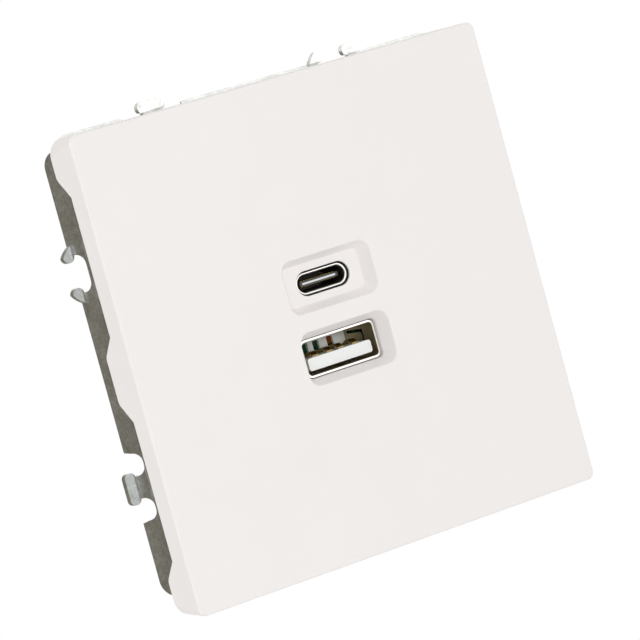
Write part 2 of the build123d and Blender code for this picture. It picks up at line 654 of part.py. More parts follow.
# Main board: carries the ports in front and the power parts behind
with BuildPart() as main_board:
    with BuildSketch(at_depth(BOARD_BACK)):
        Rectangle(BOARD_W, BOARD_W)
        with GridLocations(BOARD_W, BOARD_W, 2, 2):
            Rectangle(2 * BOARD_CORNER, 2 * BOARD_CORNER, mode=Mode.SUBTRACT)
        with Locations((-A_PIN_X, A_Z), (A_PIN_X, A_Z)):
            Rectangle(A_WALL + 2 * PIN_GAP, LEG_PIN_W + 2 * PIN_GAP, mode=Mode.SUBTRACT)
        with Locations((-TERM_X, BAR_TOPS - BAR_T / 2), (TERM_X, BAR_TOPS - BAR_T / 2)):
            Rectangle(BAR_TAIL_W + 2 * PIN_GAP, BAR_T + 2 * PIN_GAP, mode=Mode.SUBTRACT)
        with GridLocations(2 * C_PIN_X, C_H - C_WALL, 2, 2):
            with Locations((0, C_Z)):
                Rectangle(LEG_PIN_W + 2 * PIN_GAP, C_WALL + 2 * PIN_GAP, mode=Mode.SUBTRACT)
    extrude(amount=BOARD_T)

# USB-A shell: folded tube with spring fingers cut in its walls and two solder pins
with BuildPart() as usb_a_shell:
    with BuildSketch(at_depth(BOARD_FRONT)):
        with Locations((0, A_Z)):
            RectangleRounded(A_W, A_H, A_R)
            RectangleRounded(A_W - 2 * A_WALL, A_H - 2 * A_WALL, A_R - A_WALL, mode=Mode.SUBTRACT)
    extrude(amount=PORT_LENGTH)
    with BuildSketch(at_depth(BOARD_BACK + LEG_PIN_OUT)):
        with Locations((-A_PIN_X, A_Z), (A_PIN_X, A_Z)):
            Rectangle(A_WALL, LEG_PIN_W)
    extrude(amount=BOARD_T + LEG_PIN_OUT)
    finger_mid = RIM + FINGER_AT + FINGER_L / 2
    with BuildSketch(Plane.XY.offset(A_Z - A_H / 2)):
        with Locations((-FINGER_X, finger_mid), (FINGER_X, finger_mid)):
            Rectangle(FINGER_W + 2 * FINGER_CUT, FINGER_L)
        with Locations((-FINGER_X, finger_mid + FINGER_CUT), (FINGER_X, finger_mid + FINGER_CUT)):
            Rectangle(FINGER_W, FINGER_L, mode=Mode.SUBTRACT)
    extrude(amount=A_H, mode=Mode.SUBTRACT)
    with BuildSketch(Plane.YZ.offset(-A_W / 2)):
        with Locations((finger_mid, A_Z)):
            Rectangle(FINGER_L, FINGER_W + 2 * FINGER_CUT)
        with Locations((finger_mid + FINGER_CUT, A_Z)):
            Rectangle(FINGER_L, FINGER_W, mode=Mode.SUBTRACT)
    extrude(amount=A_W, mode=Mode.SUBTRACT)

# USB-A insulator: back wall with a window over each contact, tongue below them
a_block_w = A_W - 2 * A_WALL - 2 * A_BLOCK_FIT
a_block_h = A_H - 2 * A_WALL - 2 * A_BLOCK_FIT
a_back_front = RIM + A_BACK_DEPTH
with BuildPart() as usb_a_insulator:
    with BuildSketch(at_depth(BOARD_FRONT)):
        with Locations((0, A_Z)):
            RectangleRounded(a_block_w, a_block_h, A_R - A_WALL - A_BLOCK_FIT)
    extrude(amount=BOARD_FRONT - a_back_front)
    with BuildSketch(at_depth(BOARD_FRONT)):
        with Locations((0, A_Z)):
            Rectangle(a_block_w - 2 * A_BLOCK_RIM, a_block_h - 2 * A_BLOCK_RIM)
    extrude(amount=BOARD_FRONT - a_back_front - A_BACK_T, mode=Mode.SUBTRACT)
    with BuildSketch(at_depth(a_back_front + A_BACK_T)):
        with Locations((0, A_TONGUE_BOTTOM + A_TONGUE_T / 2)):
            RectangleRounded(A_TONGUE_W, A_TONGUE_T, A_TONGUE_R)
    extrude(amount=a_back_front + A_BACK_T - RIM - A_TONGUE_SETBACK)
    with BuildSketch(at_depth(a_back_front + A_BACK_T)):
        for contact_x in A_CONTACT_XS:
            with Locations((contact_x, A_TONGUE_TOP + A_WINDOW_H / 2)):
                Rectangle(A_CONTACT_W + 2 * A_BLOCK_FIT, A_WINDOW_H)
    extrude(amount=A_BACK_T, mode=Mode.SUBTRACT)

# USB-A contacts: four sprung strips along the tongue, each arched near its front
arch_front = RIM + A_ARCH_AT
with BuildPart() as usb_a_contacts:
    for contact_x in A_CONTACT_XS:
        with BuildSketch(Plane.YZ.offset(contact_x - A_CONTACT_W / 2)):
            with BuildLine():
                Line((BOARD_FRONT, A_TONGUE_TOP), (arch_front + A_ARCH_L, A_TONGUE_TOP))
                ThreePointArc(
                    (arch_front + A_ARCH_L, A_TONGUE_TOP),
                    (arch_front + A_ARCH_L / 2, A_TONGUE_TOP + A_ARCH_H),
                    (arch_front, A_TONGUE_TOP),
                )
                Line((arch_front, A_TONGUE_TOP), (arch_front, A_TONGUE_TOP + A_CONTACT_T))
                ThreePointArc(
                    (arch_front, A_TONGUE_TOP + A_CONTACT_T),
                    (arch_front + A_ARCH_L / 2, A_TONGUE_TOP + A_ARCH_H + A_CONTACT_T),
                    (arch_front + A_ARCH_L, A_TONGUE_TOP + A_CONTACT_T),
                )
                Polyline(
                    (arch_front + A_ARCH_L, A_TONGUE_TOP + A_CONTACT_T),
                    (BOARD_FRONT, A_TONGUE_TOP + A_CONTACT_T),
                    (BOARD_FRONT, A_TONGUE_TOP),
                )
            make_face()
        extrude(amount=A_CONTACT_W)

# USB-C shell: seamless obround tube with four solder pins
with BuildPart() as usb_c_shell:
    with BuildSketch(at_depth(BOARD_FRONT)):
        with Locations((0, C_Z)):
            SlotOverall(C_W, C_H)
            SlotOverall(C_W - 2 * C_WALL, C_H - 2 * C_WALL, mode=Mode.SUBTRACT)
    extrude(amount=PORT_LENGTH)
    chamfer(usb_c_shell.faces().sort_by(Axis.Y)[0].inner_wires().edges(), C_RIM_CHAMFER)
    with BuildSketch(at_depth(BOARD_BACK + LEG_PIN_OUT)):
        with GridLocations(2 * C_PIN_X, C_H - C_WALL, 2, 2):
            with Locations((0, C_Z)):
                Rectangle(LEG_PIN_W, C_WALL)
    extrude(amount=BOARD_T + LEG_PIN_OUT)

# USB-C insulator: block at the back, stepped tongue in the middle
c_back_front = RIM + C_BACK_DEPTH
c_tongue_front = RIM + C_TONGUE_SETBACK
with BuildPart() as usb_c_insulator:
    with BuildSketch(at_depth(BOARD_FRONT)):
        with Locations((0, C_Z)):
            SlotOverall(C_W - 2 * C_WALL - 2 * A_BLOCK_FIT, C_H - 2 * C_WALL - 2 * A_BLOCK_FIT)
    extrude(amount=BOARD_FRONT - c_back_front)
    with BuildSketch(at_depth(c_back_front)):
        with Locations((0, C_Z)):
            RectangleRounded(C_TONGUE_W, C_STEP_T, C_TONGUE_R)
    extrude(amount=C_STEP_L)
    with BuildSketch(at_depth(c_back_front)):
        with Locations((0, C_Z)):
            RectangleRounded(C_TONGUE_W, C_TONGUE_T, C_TONGUE_R)
    extrude(amount=c_back_front - c_tongue_front)

# USB-C contacts: a row of thin strips on each face of the tongue
with BuildPart() as usb_c_contacts:
    with BuildSketch(at_depth(c_back_front - C_STEP_L)):
        with Locations((0, C_Z)):
            with GridLocations(C_CONTACT_PITCH, C_TONGUE_T + C_CONTACT_T, C_CONTACTS, 2):
                Rectangle(C_CONTACT_W, C_CONTACT_T)
    extrude(amount=c_back_front - C_STEP_L - c_tongue_front - C_CONTACT_SETBACK)

# Terminal bars: folded brass strips from the board into each clamp
terminal_bars = {}
for circuit, term_x in (("line", -TERM_X), ("neutral", TERM_X)):
    with BuildPart() as terminal_bar:
        with BuildSketch(Plane.YZ.offset(term_x - BAR_W / 2)):
            with BuildLine():
                Polyline(
                    (BAR_BACK, TERM_Z - BAR_BOTTOM),
                    (BAR_BACK, BAR_TOPS),
                    (BOARD_BACK, BAR_TOPS),
                    (BOARD_BACK, BAR_TOPS - BAR_T),
                    (BAR_FRONT, BAR_TOPS - BAR_T),
                    (BAR_FRONT, TERM_Z - BAR_BOTTOM),
                    close=True,
                )
            make_face()
        extrude(amount=BAR_W)
        with BuildSketch(at_depth(BOARD_BACK)):
            with Locations((term_x, BAR_TOPS - BAR_T / 2)):
                Rectangle(BAR_TAIL_W, BAR_T)
        extrude(amount=BOARD_T + LEG_PIN_OUT)
    terminal_bars[circuit] = terminal_bar

# Rising clamps: cages round the bars, drawn back by the terminal screws
clamps = {}
for circuit, term_x in (("line", -TERM_X), ("neutral", TERM_X)):
    with BuildPart() as clamp:
        cage_l = CAGE_BACK - CAGE_FRONT
        with BuildSketch(Plane.XY.offset(TERM_Z - CAGE_H / 2)):
            with Locations((term_x, (CAGE_FRONT + CAGE_BACK) / 2)):
                RectangleRounded(CAGE_W, cage_l, CAGE_EDGE_R)
            with Locations((term_x, (WIRE_FRONT + CAGE_NUT) / 2)):
                Rectangle(CAGE_W - 2 * CAGE_WALL, CAGE_NUT - WIRE_FRONT, mode=Mode.SUBTRACT)
        extrude(amount=CAGE_H)
        with BuildSketch(at_depth(CAGE_BACK)):
            with Locations((term_x, TERM_Z)):
                Circle(TERM_R + TERM_FIT)
        extrude(amount=CAGE_NUT_T, mode=Mode.SUBTRACT)
    clamps[circuit] = clamp

# Terminal screws: slotted cheese heads held in the lid's wells
terminal_screws = {}
for circuit, term_x in (("line", -TERM_X), ("neutral", TERM_X)):
    with BuildPart() as terminal_screw:
        with BuildSketch(at_depth(TERM_HEAD_BACK)):
            with Locations((term_x, TERM_Z)):
                Circle(TERM_HEAD_R)
        extrude(amount=TERM_HEAD_H)
        with BuildSketch(at_depth(TERM_HEAD)):
            with Locations((term_x, TERM_Z)):
                Circle(TERM_R)
        extrude(amount=TERM_HEAD - BAR_BACK - TERM_TIP_GAP)
        with BuildSketch(at_depth(TERM_HEAD_BACK)):
            with Locations((term_x, TERM_Z)):
                Rectangle(2 * TERM_HEAD_R, TERM_SLOT_W)
        extrude(amount=TERM_SLOT_DEPTH, mode=Mode.SUBTRACT)
    terminal_screws[circuit] = terminal_screw

# Transformer: two-window ferrite core, bobbin with pin legs, taped winding
core_front = BOARD_BACK + CORE_LIFT
core_back = BOX_BACK - CORE_HEADROOM
core_mid = (core_front + core_back) / 2
core_limb = (core_back - core_front - CORE_MIDDLE) / 2 - CORE_LIMB
core_plane = Plane.XY.offset(TRANSFORMER_AT[1] - CORE_T / 2)
core_window_w = CORE_W - 2 * CORE_YOKE
with BuildPart() as transformer_core:
    with BuildSketch(core_plane):
        with Locations((TRANSFORMER_AT[0], core_mid)):
            Rectangle(CORE_W, core_back - core_front)
            with GridLocations(0, CORE_MIDDLE + core_limb, 1, 2):
                Rectangle(core_window_w, core_limb, mode=Mode.SUBTRACT)
    extrude(amount=CORE_T)

bobbin_w = core_window_w - 2 * BOBBIN_FIT
bobbin_plane = Plane.YZ.offset(TRANSFORMER_AT[0] - bobbin_w / 2)
tube_y = CORE_MIDDLE + 2 * BOBBIN_FIT
tube_z = CORE_T + 2 * BOBBIN_FIT
flange_y = CORE_MIDDLE + 2 * core_limb - 2 * BOBBIN_FIT
leg_z = (BOBBIN_FLANGE_W - tube_z) / 2
with BuildPart() as transformer_bobbin:
    with BuildSketch(bobbin_plane):
        with Locations((core_mid, TRANSFORMER_AT[1])):
            Rectangle(tube_y + 2 * BOBBIN_T, tube_z + 2 * BOBBIN_T)
    extrude(amount=bobbin_w)
    with BuildSketch(bobbin_plane, bobbin_plane.offset(bobbin_w - BOBBIN_FLANGE_T)):
        with Locations((core_mid, TRANSFORMER_AT[1])):
            Rectangle(flange_y, BOBBIN_FLANGE_W)
        with Locations(((BOARD_BACK + core_mid) / 2, TRANSFORMER_AT[1])):
            with GridLocations(0, tube_z + leg_z, 1, 2):
                Rectangle(core_mid - BOARD_BACK, leg_z)
    extrude(amount=BOBBIN_FLANGE_T)
    with BuildSketch(bobbin_plane):
        with Locations((core_mid, TRANSFORMER_AT[1])):
            Rectangle(tube_y, tube_z)
    extrude(amount=bobbin_w, mode=Mode.SUBTRACT)

with BuildPart() as transformer_winding:
    with BuildSketch(bobbin_plane.offset(BOBBIN_FLANGE_T)):
        with Locations((core_mid, TRANSFORMER_AT[1])):
            RectangleRounded(flange_y - 2 * BOBBIN_FIT, tube_z + 2 * (BOBBIN_T + WINDING_T), WINDING_R)
            Rectangle(tube_y + 2 * BOBBIN_T, tube_z + 2 * BOBBIN_T, mode=Mode.SUBTRACT)
    extrude(amount=bobbin_w - 2 * BOBBIN_FLANGE_T)

# Input capacitors: crimped aluminium cans standing on the board
can_top = BOX_BACK - CAN_HEADROOM
with BuildPart() as input_capacitors:
    for place in CAN_AT:
        with BuildSketch(radial(place, BOARD_BACK)):
            with BuildLine():
                can_h = can_top - BOARD_BACK
                Polyline(
                    (0, 0),
                    (CAN_R, 0),
                    (CAN_R, 2 * CAN_GROOVE),
                    (CAN_R - CAN_GROOVE, 3 * CAN_GROOVE),
                    (CAN_R, 4 * CAN_GROOVE),
                    (CAN_R, can_h - CAN_CHAMFER),
                    (CAN_R - CAN_CHAMFER, can_h),
                    (0, can_h),
                    close=True,
                )
            make_face()
        revolve(axis=axis_at(place))

# Output capacitors: shorter cans on the front of the board
with BuildPart() as output_capacitors:
    for can_z in OUTPUT_CAN_ZS:
        with BuildSketch(radial((OUTPUT_CAN_X, can_z), BOARD_FRONT)):
            with BuildLine():
                can_h = BOARD_FRONT - BOX_WALL - OUTPUT_CAN_HEADROOM
                Polyline(
                    (0, 0),
                    (OUTPUT_CAN_R, 0),
                    (OUTPUT_CAN_R, -2 * CAN_GROOVE),
                    (OUTPUT_CAN_R - CAN_GROOVE, -3 * CAN_GROOVE),
                    (OUTPUT_CAN_R, -4 * CAN_GROOVE),
                    (OUTPUT_CAN_R, CAN_CHAMFER - can_h),
                    (OUTPUT_CAN_R - CAN_CHAMFER, -can_h),
                    (0, -can_h),
                    close=True,
                )
            make_face()
        revolve(axis=axis_at((OUTPUT_CAN_X, can_z)))

# Fuse and safety capacitor: moulded boxes on the back of the board
with BuildPart() as fuse:
    with BuildSketch(at_depth(BOARD_BACK + FUSE_H)):
        with Locations(FUSE_AT):
            RectangleRounded(*FUSE_SIZE, FUSE_R)
    extrude(amount=FUSE_H)
    chamfer(fuse.faces().sort_by(Axis.Y)[-1].edges(), FUSE_R / 2)

with BuildPart() as safety_capacitor:
    with BuildSketch(at_depth(BOARD_BACK + SAFETY_CAP_H)):
        with Locations(SAFETY_CAP_AT):
            RectangleRounded(*SAFETY_CAP_SIZE, SAFETY_CAP_R)
    extrude(amount=SAFETY_CAP_H)
    chamfer(safety_capacitor.faces().sort_by(Axis.Y)[-1].edges(), SAFETY_CAP_R / 2)

# Filter choke: drum core with its coil in the waist
with BuildPart() as filter_choke:
    with BuildSketch(radial(CHOKE_AT, BOARD_BACK)):
        with BuildLine():
            Polyline(
                (0, 0),
                (CHOKE_R, 0),
                (CHOKE_R, CHOKE_RIM),
                (CHOKE_R - CHOKE_WAIST, CHOKE_RIM),
                (CHOKE_R - CHOKE_WAIST, CHOKE_H - CHOKE_RIM),
                (CHOKE_R, CHOKE_H - CHOKE_RIM),
                (CHOKE_R, CHOKE_H),
                (0, CHOKE_H),
                close=True,
            )
        make_face()
    revolve(axis=axis_at(CHOKE_AT))

# Chips: moulded bodies flat on the front of the board
with BuildPart() as controller_chips:
    with BuildSketch(at_depth(BOARD_FRONT)):
        for chip_z in CHIP_ZS:
            with Locations((BOARD_W / 2 - CHIP_INSET, chip_z)):
                Rectangle(*CHIP_SIZE)
    extrude(amount=CHIP_H)
    chamfer(controller_chips.faces().group_by(Axis.Y)[0].edges(), CHIP_EDGE)

with BuildPart() as bridge_rectifier:
    with BuildSketch(at_depth(BOARD_FRONT)):
        with Locations(BRIDGE_AT):
            Rectangle(*BRIDGE_SIZE)
    extrude(amount=BRIDGE_H)
    chamfer(bridge_rectifier.faces().sort_by(Axis.Y)[0].edges(), CHIP_EDGE)

with BuildPart() as port_capacitor:
    with BuildSketch(at_depth(BOARD_FRONT)):
        with Locations(PORT_CAP_AT):
            Rectangle(*PORT_CAP_SIZE)
    extrude(amount=PORT_CAP_H)

pieces = {
    "front_cover": front_cover,
    "support_bracket": support_bracket,
    "module_housing": module_housing,
    "rear_lid": rear_lid,
    "lid_screws": lid_screws,
    "module_screws": module_screws,
    "main_board": main_board,
    "usb_a_shell": usb_a_shell,
    "usb_a_insulator": usb_a_insulator,
    "usb_a_contacts": usb_a_contacts,
    "usb_c_shell": usb_c_shell,
    "usb_c_insulator": usb_c_insulator,
    "usb_c_contacts": usb_c_contacts,
    "line_terminal_bar": terminal_bars["line"],
    "neutral_terminal_bar": terminal_bars["neutral"],
    "line_clamp": clamps["line"],
    "neutral_clamp": clamps["neutral"],
    "line_screw": terminal_screws["line"],
    "neutral_screw": terminal_screws["neutral"],
    "transformer_core": transformer_core,
    "transformer_bobbin": transformer_bobbin,
    "transformer_winding": transformer_winding,
    "input_capacitors": input_capacitors,
    "output_capacitors": output_capacitors,
    "fuse": fuse,
    "safety_capacitor": safety_capacitor,
    "filter_choke": filter_choke,
    "controller_chips": controller_chips,
    "bridge_rectifier": bridge_rectifier,
    "port_capacitor": port_capacitor,
}

os.makedirs("parts", exist_ok=True)
for name, piece in pieces.items():
    piece.part.label = name
    export_step(piece.part, f"parts/{name}.step")
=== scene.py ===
import math

import bpy
from mathutils import Matrix, Vector


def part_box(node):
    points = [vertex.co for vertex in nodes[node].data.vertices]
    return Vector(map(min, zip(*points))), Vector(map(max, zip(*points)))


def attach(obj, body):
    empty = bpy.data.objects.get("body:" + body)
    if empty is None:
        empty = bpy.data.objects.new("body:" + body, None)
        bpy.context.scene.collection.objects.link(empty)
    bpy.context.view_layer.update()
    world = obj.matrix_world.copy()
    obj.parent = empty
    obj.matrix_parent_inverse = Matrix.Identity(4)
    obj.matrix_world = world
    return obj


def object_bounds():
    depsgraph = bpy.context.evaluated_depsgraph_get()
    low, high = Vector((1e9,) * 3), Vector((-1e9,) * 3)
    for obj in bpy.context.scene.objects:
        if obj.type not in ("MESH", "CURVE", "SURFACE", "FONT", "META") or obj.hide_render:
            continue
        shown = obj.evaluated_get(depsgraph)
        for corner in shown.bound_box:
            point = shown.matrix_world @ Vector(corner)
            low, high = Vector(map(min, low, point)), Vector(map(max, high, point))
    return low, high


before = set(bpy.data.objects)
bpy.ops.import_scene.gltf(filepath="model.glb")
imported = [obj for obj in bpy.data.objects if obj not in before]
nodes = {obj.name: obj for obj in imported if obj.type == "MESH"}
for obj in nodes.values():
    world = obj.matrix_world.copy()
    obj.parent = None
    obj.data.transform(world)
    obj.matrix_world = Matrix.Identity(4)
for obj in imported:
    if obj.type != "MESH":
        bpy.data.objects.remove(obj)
cad_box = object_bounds()
scene = bpy.context.scene

MM = 0.001

# Camera: the long lens, angle and roll of the photograph, fitted to the cover's corners
LENS_PX = 4480.934
IMAGE_PX = 640
SENSOR_MM = 36.0
AZIMUTH = -30.526
ELEVATION = 4.320
ROLL = -15.331
DISTANCE_MM = 649.198
AIM_RIGHT_MM = 2.893
AIM_UP_MM = 1.090
FACE_MM = -4.5

# Studio
FLOOR_DROP_MM = 320.0
FLOOR_HALF_MM = 1600.0
FLOOR_FADE_MM = (400.0, 1200.0)
AMBIENT = 0.61
MIRRORED = 1.22
DARK_SIDE = (-0.84, 0.50, -0.20)
DARK_FROM = 0.25
DARK_TO = 0.80
DARK_TONE = "#7E7A70"
CAMERA_SIDE = (-0.62, -0.77, 0.02)
CAMERA_FROM = 0.80
CAMERA_TO = 0.96
CAMERA_TONE = "#CCD0D1"
# Each lamp: name, place and width in millimetres, power in watts, and whether metal mirrors it
LAMPS = (
    ("key", (280.0, -300.0, 560.0), 360.0, 0.29, True),
    ("front", (40.0, -660.0, 60.0), 180.0, 0.60, False),
    ("lens", (-340.0, -575.0, 55.0), 120.0, 0.88, False),
    ("side", (-620.0, 180.0, 30.0), 300.0, 0.98, False),
)

# Where most values of a noise texture lie
NOISE_LOW = 0.3
NOISE_HIGH = 0.7

# Plastics: width of the faint clouds in their colour
CLOUD_MM = 9.0

# Metals: width of a patch of polish, in drawing lines
PATCH_LINES = 12

# How drawing and rolling lines run: into the wall or upwards, each also longer, or no way at all
INWARD = (1.0, 0.2, 1.0)
INWARD_LONG = (1.0, 0.15, 1.0)
INWARD_LONGEST = (1.0, 0.12, 1.0)
UPWARD = (1.0, 1.0, 0.2)
UPWARD_LONG = (1.0, 1.0, 0.15)
NO_WAY = (1.0, 1.0, 1.0)

# Zinc coat: width of its crystals and of the blooms over them, and how far and how often their edges stray
CRYSTAL_MM = 0.4
BLOOM_MM = 1.8
STRAY_MM = 0.9
STRAY_EVERY_MM = 1.6
CRYSTAL_SHARE = 0.35
CRYSTAL_RELIEF_MM = 0.025
ZINC_POLISH = (0.30, 0.42)

# The bracket: where its flanges end and its tabs begin, and how steeply the tabs' ends dip
FLANGE_TIP_MM = 35.15
TAB_DIP = 0.7

# USB-C tongue: its grain, the length of its pale tip, and half the thickness and width of the plate there
TONGUE_GRAIN_MM = 0.25
TONGUE_RELIEF_MM = 0.01
C_TIP_MM = 0.3
C_PLATE_HALF_MM = 0.14
C_PLATE_REACH_MM = 2.9

# Small repeats inside the box, all in millimetres
SCREW_R = 1.5
THREAD_PITCH = 0.5
THREAD_H = 0.04
THREAD_FROM = 18.1
THREAD_TO = 23.0
COIL_R = 1.9
COIL_WIRE_R = 0.2
COIL_PITCH = 0.42
COIL_FROM = 11.85
COIL_TO = 16.35
COIL_AT = (-13.0, -3.7)
LEADS_A_SIDE = 4
LEAD_PITCH = 1.27
LEAD_W = 0.42
LEAD_T = 0.2
LEAD_TIP = 2.95
LEAD_ROOT = 1.75
LEAD_RISE = 0.6
LEAD_BEND = 0.8
CHIP_SPACING = 8.0
SOLDER_R = 0.75
SOLDER_H = 0.5
A_PIN_SPACING = 12.7
C_PIN_SPACING = (7.19, 2.85)

# USB shells: their drawing lines, the depth over which the bright rim gives way to the rougher inside with
# its painted shade, and how much rougher that is
SHELL_LINE_MM = 0.2
SHELL_RELIEF_MM = 0.002
SHELL_POLISH = (0.12, 0.22)
SHELL_RIM_MM = 0.2
INSIDE_ROUGHER = 0.28

# Turns that lay an upright axis into the wall, stand a flat grid up, and face a row the other way
INTO_WALL = (-math.pi / 2, 0.0, 0.0)
UPRIGHT = (math.pi / 2, 0.0, 0.0)
HALF_TURN = (0.0, math.pi, 0.0)


def middle(name):
    """Centre of a CAD node's box, in metres."""
    low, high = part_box(name)
    return (low + high) / 2


# Places that the frame gives, in metres
board_front, board_back = (corner.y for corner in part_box("main_board"))
shell_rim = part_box("usb_c_shell")[0].y
tongue_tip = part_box("usb_c_insulator")[0].y
port_height = middle("usb_c_shell").z
tab_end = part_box("support_bracket")[1].x
bracket_height = middle("support_bracket").z


def linear(colour):
    """sRGB hex colour as linear RGBA."""
    channels = [int(colour[i : i + 2], 16) / 255 for i in (1, 3, 5)]
    return [c / 12.92 if c <= 0.04045 else ((c + 0.055) / 1.055) ** 2.4 for c in channels] + [1.0]


def per(size_mm):
    """Texture scale that makes one feature about this wide."""
    return 1.0 / (size_mm * MM)


def add(tree, kind, values=None, links=None, **settings):
    """Add a node: its own settings, the values of its free inputs, and what feeds the others."""
    node = tree.nodes.new(kind)
    for key, value in settings.items():
        setattr(node, key, value)
    for key, value in (values or {}).items():
        node.inputs[key].default_value = value
    for key, source in (links or {}).items():
        tree.links.new(source, node.inputs[key])
    return node


def blank(name):
    """New material with its tree and the object's own coordinates."""
    material = bpy.data.materials.new(name)
    material.use_nodes = True
    tree = material.node_tree
    tree.nodes.clear()
    return material, tree, add(tree, "ShaderNodeTexCoord").outputs["Object"]


def moulded(name, pale, deep, roughness, grain_mm, depth_mm, coat=0.0):
    """Moulded plastic: faint cloudy colour, and the even grain of the mould."""
    material, tree, place = blank(name)
    clouds = add(tree, "ShaderNodeTexNoise", {"Scale": per(CLOUD_MM), "Detail": 4.0}, {"Vector": place})
    grain = add(tree, "ShaderNodeTexNoise", {"Scale": per(grain_mm), "Detail": 2.0}, {"Vector": place})
    tone = add(
        tree,
        "ShaderNodeMix",
        {6: linear(deep), 7: linear(pale)},
        {0: clouds.outputs[0]},
        data_type="RGBA",
    )
    polish = add(
        tree,
        "ShaderNodeMapRange",
        {"From Min": NOISE_LOW, "From Max": NOISE_HIGH, "To Min": roughness[0], "To Max": roughness[1]},
        {"Value": clouds.outputs[0]},
    )
    relief = add(
        tree,
        "ShaderNodeBump",
        {"Strength": 1.0, "Distance": depth_mm * MM},
        {"Height": grain.outputs[0]},
    )
    shader = add(
        tree,
        "ShaderNodeBsdfPrincipled",
        {"IOR": 1.5, "Coat Weight": coat},
        {"Base Color": tone.outputs[2], "Roughness": polish.outputs[0], "Normal": relief.outputs[0]},
    )
    add(tree, "ShaderNodeOutputMaterial", links={"Surface": shader.outputs[0]})
    return material


def drawn_metal(name, pale, deep, roughness, line_mm, depth_mm, stretch):
    """Plated or drawn metal: fine lines left by the die, stretched one way, under a patchy colour."""
    material, tree, place = blank(name)
    along = add(tree, "ShaderNodeMapping", {"Scale": stretch}, {"Vector": place})
    lines = add(
        tree,
        "ShaderNodeTexNoise",
        {"Scale": per(line_mm), "Detail": 3.0},
        {"Vector": along.outputs[0]},
    )
    patches = add(
        tree,
        "ShaderNodeTexNoise",
        {"Scale": per(line_mm * PATCH_LINES), "Detail": 2.0},
        {"Vector": place},
    )
    tone = add(
        tree,
        "ShaderNodeMix",
        {6: linear(deep), 7: linear(pale)},
        {0: patches.outputs[0]},
        data_type="RGBA",
    )
    polish = add(
        tree,
        "ShaderNodeMapRange",
        {"From Min": NOISE_LOW, "From Max": NOISE_HIGH, "To Min": roughness[0], "To Max": roughness[1]},
        {"Value": lines.outputs[0]},
    )
    relief = add(
        tree,
        "ShaderNodeBump",
        {"Strength": 1.0, "Distance": depth_mm * MM},
        {"Height": lines.outputs[0]},
    )
    shader = add(
        tree,
        "ShaderNodeBsdfPrincipled",
        {"Metallic": 1.0},
        {"Base Color": tone.outputs[2], "Roughness": polish.outputs[0], "Normal": relief.outputs[0]},
    )
    add(tree, "ShaderNodeOutputMaterial", links={"Surface": shader.outputs[0]})
    return material


def galvanised_sheet():
    """Hot-dip galvanised steel: small zinc crystals, each of its own grey and polish, under wider blooms."""
    material, tree, place = blank("galvanised_steel_sheet")
    wander = add(tree, "ShaderNodeTexNoise", {"Scale": per(STRAY_EVERY_MM), "Detail": 3.0}, {"Vector": place})
    shift = add(
        tree,
        "ShaderNodeVectorMath",
        {1: (STRAY_MM * MM,) * 3},
        {0: wander.outputs[1]},
        operation="MULTIPLY",
    )
    ragged = add(
        tree,
        "ShaderNodeVectorMath",
        links={0: place, 1: shift.outputs[0]},
        operation="ADD",
    )
    crystals = add(tree, "ShaderNodeTexVoronoi", {"Scale": per(CRYSTAL_MM)}, {"Vector": ragged.outputs[0]})
    grey = add(tree, "ShaderNodeSeparateColor", links={"Color": crystals.outputs["Color"]})
    bloom = add(tree, "ShaderNodeTexNoise", {"Scale": per(BLOOM_MM), "Detail": 6.0}, {"Vector": place})
    mixed = add(
        tree,
        "ShaderNodeMath",
        {1: CRYSTAL_SHARE},
        {0: grey.outputs[0], 2: bloom.outputs[0]},
        operation="MULTIPLY_ADD",
    )
    tone = add(
        tree,
        "ShaderNodeMapRange",
        {"From Min": CRYSTAL_SHARE, "From Max": 1.0},
        {"Value": mixed.outputs[0]},
    )
    zinc = add(
        tree,
        "ShaderNodeMix",
        {6: linear("#C6C6C0"), 7: linear("#EFF0EE")},
        {0: tone.outputs[0]},
        data_type="RGBA",
    )
    polish = add(
        tree,
        "ShaderNodeMapRange",
        {"To Min": ZINC_POLISH[0], "To Max": ZINC_POLISH[1]},
        {"Value": grey.outputs[1]},
    )
    # Hooks and T heads dip towards the wall at their ends, so they catch other light than the flanges
    parts = add(tree, "ShaderNodeSeparateXYZ", links={"Vector": place})
    across = add(tree, "ShaderNodeMath", links={0: parts.outputs["X"]}, operation="ABSOLUTE")
    lifted = add(
        tree,
        "ShaderNodeMath",
        {1: bracket_height},
        {0: parts.outputs["Z"]},
        operation="SUBTRACT",
    )
    upward = add(tree, "ShaderNodeMath", links={0: lifted.outputs[0]}, operation="ABSOLUTE")
    outward = add(
        tree,
        "ShaderNodeMath",
        links={0: across.outputs[0], 1: upward.outputs[0]},
        operation="MAXIMUM",
    )
    dip = add(
        tree,
        "ShaderNodeMapRange",
        {
            "From Min": FLANGE_TIP_MM * MM,
            "From Max": tab_end,
            "To Min": tab_end - FLANGE_TIP_MM * MM,
            "To Max": 0.0,
        },
        {"Value": outward.outputs[0]},
    )
    bent = add(tree, "ShaderNodeBump", {"Strength": 1.0, "Distance": TAB_DIP}, {"Height": dip.outputs[0]})
    relief = add(
        tree,
        "ShaderNodeBump",
        {"Strength": 0.6, "Distance": CRYSTAL_RELIEF_MM * MM},
        {"Height": mixed.outputs[0], "Normal": bent.outputs[0]},
    )
    shader = add(
        tree,
        "ShaderNodeBsdfPrincipled",
        {"Metallic": 1.0},
        {"Base Color": zinc.outputs[2], "Roughness": polish.outputs[0], "Normal": relief.outputs[0]},
    )
    add(tree, "ShaderNodeOutputMaterial", links={"Surface": shader.outputs[0]})
    return material


